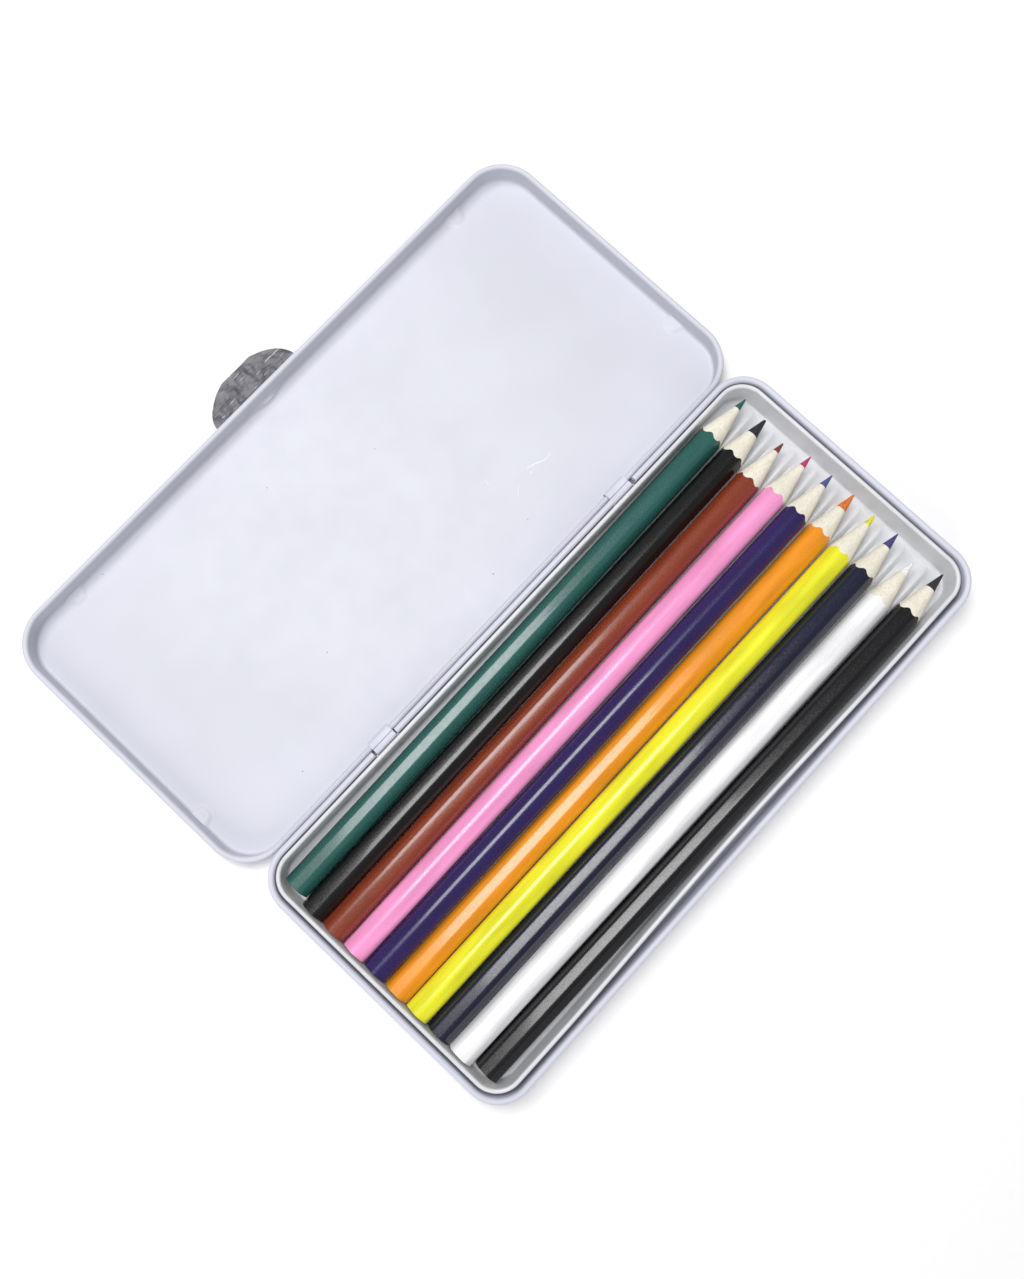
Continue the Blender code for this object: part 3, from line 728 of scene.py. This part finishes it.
class TIN_OT_lid(bpy.types.Operator):
    """Model the lid, with its rolled rim, stops, thumb dent and hinge slots"""

    bl_idname = "tin.lid"
    bl_label = "Lid"

    def execute(self, context):
        sizes = context.scene.tin_sizes
        low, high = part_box("lid_shell")
        hinge_z = hinge_axis()[1]
        out = 2 * sizes.rim_radius - sizes.sheet / 2
        half_x = high[0] - out
        centre_y = (low[1] + high[1]) / 2
        half_y = (high[1] - low[1]) / 2 - out
        slot_bottom = hinge_z - loop_radius(sizes) - sizes.sheet / 2 - sizes.gap
        slot_top = hinge_z - SLOT_DROP
        profile = [(distance * MM, sizes.sheet / 2) for distance in PANEL_ROWS] + fold(0, sizes)
        profile += [(0, height * MM) for height, _ in WALL_ROWS]
        profile += [(0, slot_bottom), (0, slot_top), (0, hinge_z)]
        profile += rolled_rim(0, hinge_z, sizes)
        corner = sizes.corner_radius + sizes.lid_play + sizes.sheet / 2
        piece = pan("lid_tin", profile, half_x, half_y, corner, sizes.corner_steps)
        stop_x = high[0] - sizes.stop_from_end
        stop_y = -half_y + sizes.stop_from_hinge
        for side in (-1, 1):
            slice_across(side * stop_x, sizes.stop_width, axis=0)
        slice_across(stop_y, sizes.stop_width, axis=1)
        slice_across(0, sizes.dent_width, axis=0)
        slot = sizes.tongue_width / 2 + SLOT_PLAY
        for middle in hinge_middles(sizes):
            for across in (-slot, slot):
                slice_all((middle + across, 0, 0), (1, 0, 0))
        # Keep the wall above the fold out of what the presses draw along.
        pick(piece, "VERT", lambda co: co.z > 1.5 * MM)
        bpy.ops.mesh.hide(unselected=False)
        for side in (-1, 1):
            self.press_stop(piece, sizes, lambda co: (co.x - side * stop_x, half_y - co.y))
            self.press_stop(piece, sizes, lambda co: (co.y - stop_y, half_x - side * co.x))
        self.press_dent(piece, sizes, half_y)
        for middle in hinge_middles(sizes):
            pick(
                piece,
                "FACE",
                lambda co: abs(co.x - middle) < slot + TINY
                and co.y < -half_y + 0.1 * MM
                and slot_bottom - TINY < co.z < slot_top + TINY,
            )
            bpy.ops.mesh.delete(type="FACE")
        thicken(piece, sizes.sheet, use_quality_normals=True)
        piece.location.y = centre_y
        settle(piece)
        tint = context.scene.tin_colours.lid_enamel
        piece.data.materials.append(enamel("stoving enamel on tin plate, lid", tint))
        # White raised lines on the panel: painted highlights of small creases.
        crease_highlights = [self.scuff(sizes, line) for line in CREASE_HIGHLIGHTS]
        for scuff in crease_highlights:
            scuff.data.materials.append(crease_highlight_enamel("enamel rubbed white", tint))
        join(piece, *crease_highlights)
        settle(piece)
        dress(piece, None, "lid", ["lid_shell"])
        return {"FINISHED"}

    def press_stop(self, piece, sizes, place):
        """Press up a low half-oval at the wall. place gives a point's distances along and away from it."""

        def inside(co):
            along, away = place(co)
            oval = math.hypot(along / sizes.stop_width, away / sizes.stop_reach / 2)
            return oval < STOP_SHARE and co.z < sizes.sheet / 2 + 0.25 * MM

        press(piece, inside, (0, 0, sizes.stop_height), STOP_SLOPE)

    def press_dent(self, piece, sizes, half_y):
        """Press the thumb dent into the front wall's foot, show the hidden wall again and draw it along."""
        near = 0.25 * MM
        press(
            piece,
            lambda co: abs(co.x) < near and half_y - 1.2 * MM < co.y,
            (0, -sizes.dent_depth, 0),
            sizes.dent_width,
        )
        bpy.ops.mesh.reveal(select=False)
        for step in range(1 - SLICES // 2, SLICES // 2):
            fall = 1 - abs(step) / (SLICES // 2)
            for height, share in WALL_ROWS:
                pick(
                    piece,
                    "VERT",
                    lambda co: abs(co.x - step / SLICES * sizes.dent_width) < near
                    and co.y > half_y - 0.05 * MM
                    and abs(co.z - height * MM) < TINY,
                )
                depth = sizes.dent_depth * share * fall * fall * (3 - 2 * fall)
                bpy.ops.transform.translate(value=(0, -depth, 0))

    def scuff(self, sizes, line):
        """Thin raised line of rubbed enamel on the panel."""
        start_x, start_y = line[0]
        piece = start_at("scuff", (start_x * MM, start_y * MM, sizes.sheet + 0.02 * MM))
        draw_along([(x, y, 0) for x, y in line], MM)
        bpy.ops.mesh.select_all(action="SELECT")
        # A painted crease highlight is 0.25 mm wide.
        extrude(x=0.15 * MM, y=0.2 * MM)
        bake(piece, "SOLIDIFY", thickness=0.05 * MM, offset=0.0)
        turn_out(piece)
        return piece


def pencil_line(name):
    """Middle of a pencil's butt and its point."""
    points = [vert.co for vert in frame["nodes"][f"pencil_{name}_core"].data.vertices]
    butt_x = min(point.x for point in points)
    butt = [point for point in points if point.x < butt_x + 0.1 * MM]
    middle = [(min(p[i] for p in butt) + max(p[i] for p in butt)) / 2 for i in range(3)]
    return Vector(middle), max(points, key=lambda point: point.x).copy()


class TIN_OT_tray(bpy.types.Operator):
    """Model the tray, with its lip and the ridges between the pencils"""

    bl_idname = "tin.tray"
    bl_label = "Tray"

    def execute(self, context):
        sizes = context.scene.tray_sizes
        low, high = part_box("insert_tray")
        half_x = high[0]
        half_y = (high[1] - low[1]) / 2
        centre_y = (low[1] + high[1]) / 2
        floor = low[2] + sizes.sheet / 2
        wall = -2 * sizes.lip_radius + sizes.sheet / 2
        foot = wall - sizes.draft
        lip = sizes.lip_radius - sizes.sheet / 2
        lip_z = high[2] - sizes.lip_radius
        profile = [(foot - FLOOR_EDGE, floor), (foot - sizes.fold, floor)]
        profile += arc((foot - sizes.fold, floor + sizes.fold), sizes.fold, math.radians(-90), 0, 5)
        profile += [(wall - sizes.draft / 2, (floor + lip_z) / 2), (wall, lip_z)]
        profile += arc((wall + lip, lip_z), lip, math.pi, 0, 9)
        profile += [(profile[-1][0], lip_z - sizes.lip_drop)]
        piece = pan("tray", profile, half_x, half_y, sizes.corner_radius, 12)
        self.raise_ridges(piece, sizes, floor, half_x + foot - FLOOR_EDGE, centre_y)
        # Rows every 8 mm let the lip bend smoothly.
        for x in range(-80, 81, 8):
            slice_all((x * MM, 0, 0), (1, 0, 0))
        press(
            piece,
            lambda co: abs(co.x - BOW_X) < 5 * MM and co.y < -half_y + 3 * MM and co.z > floor + 2 * MM,
            (0, sizes.bow, 0),
            BOW_LENGTH,
        )
        thicken(piece, sizes.sheet)
        piece.location.y = centre_y
        settle(piece, 50)
        look = polystyrene("thermoformed polystyrene", context.scene.tin_colours.tray_plastic)
        dress(piece, look, "tray", ["insert_tray"])
        return {"FINISHED"}

    def raise_ridges(self, piece, sizes, floor, flat_x, centre_y):
        """Raise a ridge between each two pencils, low under their shafts and higher between their points."""

        def on_floor(co):
            return abs(co.z - floor) < TINY and abs(co.x) < flat_x + TINY

        # Rows where the ridges begin, where they step up before the points, and where they end.
        cones = flat_x - CONES
        for x in (-flat_x + 0.6 * MM, 0.0, cones - 3 * MM, cones, flat_x - 3 * MM, flat_x - 0.6 * MM):
            pick(piece, "FACE", on_floor)
            slice_at((x, 0, 0), (1, 0, 0))
        ridges = self.ridge_lines(centre_y)
        for middle, slope in ridges:
            for across in (-0.5, -RIDGE_TOP, 0, RIDGE_TOP, 0.5):
                pick(piece, "FACE", on_floor)
                slice_at((0, middle + across * sizes.ridge_width, 0), (-slope, 1, 0))
        for middle, slope in ridges:
            for share, height in ((0.0, 1.0), (RIDGE_TOP, RIDGE_SHOULDER)):
                width = share * sizes.ridge_width

                def on_ridge(co):
                    return abs(abs(co.y - middle - slope * co.x) - width) < 0.05 * MM

                low = sizes.ridge_height * height
                pick(
                    piece,
                    "VERT",
                    lambda co: abs(co.z - floor) < TINY and abs(co.x) < flat_x - 0.5 * MM and on_ridge(co),
                )
                bpy.ops.transform.translate(value=(0, 0, low))
                pick(
                    piece,
                    "VERT",
                    lambda co: cones - TINY < co.x < flat_x - 2.9 * MM
                    and abs(co.z - floor - low) < TINY
                    and on_ridge(co),
                )
                bpy.ops.transform.translate(value=(0, 0, sizes.ridge_rise * height))

    def ridge_lines(self, centre_y):
        """Lines halfway between two pencils, as Y where X is 0, from the tray's middle, and slope."""
        lines = [pencil_line(settings[0]) for settings in PENCILS]
        ridges = []
        for (butt, point), (next_butt, next_point) in zip(lines, lines[1:]):
            start = (butt + next_butt) / 2
            end = (point + next_point) / 2
            slope = (end.y - start.y) / (end.x - start.x)
            ridges.append((start.y - start.x * slope - centre_y, slope))
        return ridges


def flap_rows(sizes, rows=10):
    """Rows of the flap: distance from the lid's edge, and X of both ends.

    The round edge is fuller than an ellipse, and the last row, short of its top, leaves it slightly flat.
    """
    for row in range(rows):
        part = row / rows
        share = (1 - part**3) ** 0.8
        yield part * sizes.reach, -sizes.left * share, sizes.right * share


class TIN_OT_film(bpy.types.Operator):
    """Model the crumpled flap of packing film at the lid's front edge"""

    bl_idname = "tin.film"
    bl_label = "Film"

    def execute(self, context):
        sizes = context.scene.film_sizes
        low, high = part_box("film_tab")
        start_y = low[1] + 0.3 * MM
        piece = start_at("film_flap", (-sizes.left, start_y, 1.0 * MM))
        spread = sizes.left + sizes.right
        columns = 56
        for _ in range(columns):
            extrude(x=spread / columns)
        bpy.ops.mesh.select_all(action="SELECT")
        reach = start_y
        middle = (sizes.right - sizes.left) / 2
        for distance, left, right in list(flap_rows(sizes))[1:]:
            extrude(y=start_y + distance - reach)
            reach = start_y + distance
            new_middle = (left + right) / 2
            bpy.ops.transform.translate(value=(new_middle - middle, 0, 0))
            middle = new_middle
            new_spread = right - left
            bpy.ops.transform.resize(value=(new_spread / spread, 1, 1), center_override=(middle, reach, 0))
            spread = new_spread
        bpy.ops.mesh.select_all(action="SELECT")
        bpy.ops.mesh.subdivide(number_cuts=2)
        leave()
        crumple = bpy.data.textures.new("crumple", "CLOUDS")
        crumple.noise_scale = 5 * MM
        crumple.noise_depth = 2
        bake(
            piece,
            "DISPLACE",
            texture=crumple,
            texture_coords="LOCAL",
            direction="Z",
            strength=sizes.crumple,
            mid_level=0.45,
        )
        bake(piece, "SOLIDIFY", thickness=sizes.thickness, offset=0.0)
        turn_out(piece)
        settle(piece, 60)
        # Keep the wrinkles off the floor and under the top of the packed flap.
        edit(piece)
        lowest = 0.12 * MM
        highest = min(high[2] - 0.1 * MM, 2.4 * MM)
        shape = bmesh.from_edit_mesh(piece.data)
        for vert in shape.verts:
            vert.co.z = min(max(vert.co.z, lowest), highest)
        bmesh.update_edit_mesh(piece.data)
        leave()
        look = packing_film("cast polypropylene film", context.scene.tin_colours.film)
        dress(piece, look, "lid", ["film_tab"])
        return {"FINISHED"}


def cut_with(piece, cutter, operation):
    """Apply a Boolean whose new faces keep the cutter's finish, and remove the cutter."""
    bake(piece, "BOOLEAN", object=cutter, operation=operation, solver="EXACT", material_mode="TRANSFER")
    bpy.data.objects.remove(cutter, do_unlink=True)


def stand_along(piece, butt, point, roll):
    """Lay a pencil made upright from its butt along its line, rolled about it."""
    line = point - butt
    turn = math.atan2(line.y, line.x)
    lay = Matrix.Rotation(math.radians(90), 4, "Y") @ Matrix.Rotation(roll, 4, "Z")
    piece.matrix_world = Matrix.Translation(butt) @ Matrix.Rotation(turn, 4, "Z") @ lay


class TIN_OT_pencils(bpy.types.Operator):
    """Model the ten pencils, each a lacquered hexagonal casing sharpened round its lead"""

    bl_idname = "tin.pencils"
    bl_label = "Pencils"

    def execute(self, context):
        colours = context.scene.tin_colours
        paints = context.scene.pencil_colours
        wood = basswood("sharpened basswood", colours.wood, colours.wood_grain)
        for name, _, _, roll, lead_size, blunt in PENCILS:
            butt, point = pencil_line(name)
            coat = lacquer(f"gloss lacquer on basswood, {name}", getattr(paints, f"{name}_lacquer"))
            wax = wax_lead(f"wax lead, {name}", getattr(paints, f"{name}_lead"))
            casing = self.casing(context, name, (point - butt).length, lead_size, coat, wood)
            stand_along(casing, butt, point, math.radians(roll))
            settle(casing, 30)
            dress(casing, None, f"pencil_{name}", [f"pencil_{name}_casing"])
            lead = self.lead(context, name, (point - butt).length, lead_size, blunt)
            stand_along(lead, butt, point, math.radians(roll))
            settle(lead, 50)
            dress(lead, wax, f"pencil_{name}", [f"pencil_{name}_core"])
        return {"FINISHED"}

    def casing(self, context, name, length, lead_size, coat, wood):
        """Hexagonal bar with rounded edges, sharpened and bored, upright from its butt."""
        sizes = context.scene.pencil_sizes
        radius = sizes.flats / 2 / math.cos(math.radians(30))
        piece = primitive("cylinder", f"{name}_casing", vertices=6, radius=radius, depth=length)
        piece.data.materials.append(coat)
        piece.data.materials.append(wood)
        edit(piece)
        bpy.ops.mesh.select_all(action="SELECT")
        bpy.ops.transform.translate(value=(0, 0, length / 2))
        bpy.ops.mesh.select_mode(type="EDGE")
        bpy.ops.mesh.select_all(action="DESELECT")
        shape = bmesh.from_edit_mesh(piece.data)
        for edge in shape.edges:
            edge.select_set(abs(edge.verts[0].co.z - edge.verts[1].co.z) > length / 2)
        bmesh.update_edit_mesh(piece.data)
        bpy.ops.mesh.bevel(offset=sizes.edge * math.tan(math.radians(30)), segments=5, profile=0.5)
        pick(piece, "FACE", lambda co: co.z < TINY)
        piece.active_material_index = 1
        bpy.ops.object.material_slot_assign()
        # The bare butt stands a little out of its rim of lacquer.
        bpy.ops.mesh.inset(thickness=0.35 * MM)
        bpy.ops.transform.translate(value=(0, 0, -0.05 * MM))
        leave()
        below = 25 * MM
        cone = primitive(
            "cone",
            "sharpener",
            vertices=96,
            radius1=(below + length) * math.tan(sizes.sharpening),
            radius2=0,
            depth=below + length,
            location=(0, 0, (length - below) / 2),
        )
        cone.data.materials.append(wood)
        cut_with(piece, cone, "INTERSECT")
        middle = (0, 0, length / 2)
        bore = primitive(
            "cylinder", "bore", vertices=32, radius=lead_size / 2, depth=3 * length, location=middle
        )
        bore.data.materials.append(wood)
        cut_with(piece, bore, "DIFFERENCE")
        return piece

    def lead(self, context, name, length, lead_size, blunt):
        """Round lead with its sharpened point, upright from its butt."""
        slope = math.tan(context.scene.pencil_sizes.sharpening)
        radius = lead_size / 2 - 0.01 * MM
        shoulder = length - radius / slope
        piece = primitive("cylinder", f"{name}_lead", vertices=32, radius=radius, depth=shoulder)
        edit(piece)
        bpy.ops.mesh.select_all(action="SELECT")
        bpy.ops.transform.translate(value=(0, 0, shoulder / 2))
        pick(piece, "FACE", lambda co: co.z > shoulder - TINY)
        height = length - shoulder - blunt / slope
        extrude(z=height)
        bpy.ops.transform.resize(
            value=(blunt / radius, blunt / radius, 1), center_override=(0, 0, shoulder + height)
        )
        bpy.ops.mesh.bevel(offset=blunt * 0.7, segments=3, profile=0.5)
        leave()
        return piece


class TIN_OT_stage(bpy.types.Operator):
    """Lay the white floor, hang the soft lights and place the camera"""

    bl_idname = "tin.stage"
    bl_label = "Stage"

    def execute(self, context):
        scene = context.scene
        floor = primitive("plane", "paper_floor", size=4.0, location=(0, 0, -0.05 * MM))
        floor.data.materials.append(floor_paper("white photographic paper"))
        self.light("overhead softbox", (0.04, 0.3, 0.85), (0.04, 0.29, 0.0), (0.42, 0.65), 7.6)
        self.light("side softbox", (-0.9, -0.5, 0.7), (0.0, 0.0, 0.0), (0.6, 0.6), 4.0)
        world = bpy.data.worlds.new("studio")
        world.use_nodes = True
        light = world.node_tree.nodes["Background"].inputs
        light["Color"].default_value = (1.0, 1.0, 1.0, 1.0)
        light["Strength"].default_value = 0.25
        scene.world = world
        scene.view_settings.view_transform = "Standard"
        self.camera(scene)
        return {"FINISHED"}

    def light(self, name, place, target, extent, power):
        """Softbox aimed at a target."""
        bpy.ops.object.select_all(action="DESELECT")
        aim = (Vector(target) - Vector(place)).to_track_quat("-Z", "Y").to_euler()
        bpy.ops.object.light_add(type="AREA", location=place, rotation=aim)
        lamp = bpy.context.active_object
        lamp.name = name
        lamp.data.name = name
        lamp.data.shape = "RECTANGLE"
        lamp.data.size, lamp.data.size_y = extent
        lamp.data.energy = power

    def camera(self, scene):
        """Camera looking down on the open tin from the pencils' butts."""
        data = bpy.data.cameras.new("camera")
        data.sensor_fit = "AUTO"
        data.sensor_width = 36.0
        data.lens = 31.48
        data.clip_start = 0.01
        camera = bpy.data.objects.new("camera", data)
        scene.collection.objects.link(camera)
        azimuth, elevation, roll = (math.radians(angle) for angle in (311.62, 82.74, 1.44))
        back = Vector(
            (
                math.sin(azimuth) * math.cos(elevation),
                -math.cos(azimuth) * math.cos(elevation),
                math.sin(elevation),
            )
        )
        across = Vector((0, 0, 1)).cross(back).normalized()
        up = back.cross(across)
        right = math.cos(roll) * across + math.sin(roll) * up
        top = -math.sin(roll) * across + math.cos(roll) * up
        target = Vector((-0.0027, 0.0369, 0.0))
        distance = 0.2957
        turn = Matrix((right, top, back)).transposed().to_4x4()
        camera.matrix_world = Matrix.Translation(target + back * distance) @ turn
        scene.camera = camera


class TIN_PT_panel(bpy.types.Panel):
    """Sidebar panel that lists the pieces"""

    bl_idname = "TIN_PT_panel"
    bl_label = "Pencil tin"
    bl_space_type = "VIEW_3D"
    bl_region_type = "UI"
    bl_category = "Pencil tin"

    def draw(self, context):
        for operator in OPERATORS:
            self.layout.operator(operator.bl_idname)
        for group in PROPERTIES:
            box = self.layout.box()
            settings = getattr(context.scene, group)
            for field in settings.bl_rna.properties.keys():
                if field not in {"rna_type", "name"}:
                    box.prop(settings, field)


OPERATORS = (TIN_OT_base, TIN_OT_lid, TIN_OT_tray, TIN_OT_film, TIN_OT_pencils, TIN_OT_stage)
PROPERTIES = {
    "tin_sizes": TinSizes,
    "tray_sizes": TraySizes,
    "pencil_sizes": PencilSizes,
    "film_sizes": FilmSizes,
    "tin_colours": TinColours,
    "pencil_colours": PencilColours,
}


def register():
    for group in PROPERTIES.values():
        bpy.utils.register_class(group)
    for name, group in PROPERTIES.items():
        setattr(bpy.types.Scene, name, PointerProperty(type=group))
    for operator in OPERATORS:
        bpy.utils.register_class(operator)
    bpy.utils.register_class(TIN_PT_panel)


def unregister():
    bpy.utils.unregister_class(TIN_PT_panel)
    for operator in reversed(OPERATORS):
        bpy.utils.unregister_class(operator)
    for name in PROPERTIES:
        delattr(bpy.types.Scene, name)
    for group in reversed(PROPERTIES.values()):
        bpy.utils.unregister_class(group)


def main():
    register()
    bpy.ops.tin.base()
    bpy.ops.tin.lid()
    bpy.ops.tin.tray()
    bpy.ops.tin.film()
    bpy.ops.tin.pencils()
    bpy.ops.tin.stage()


if __name__ == "__main__":
    main()
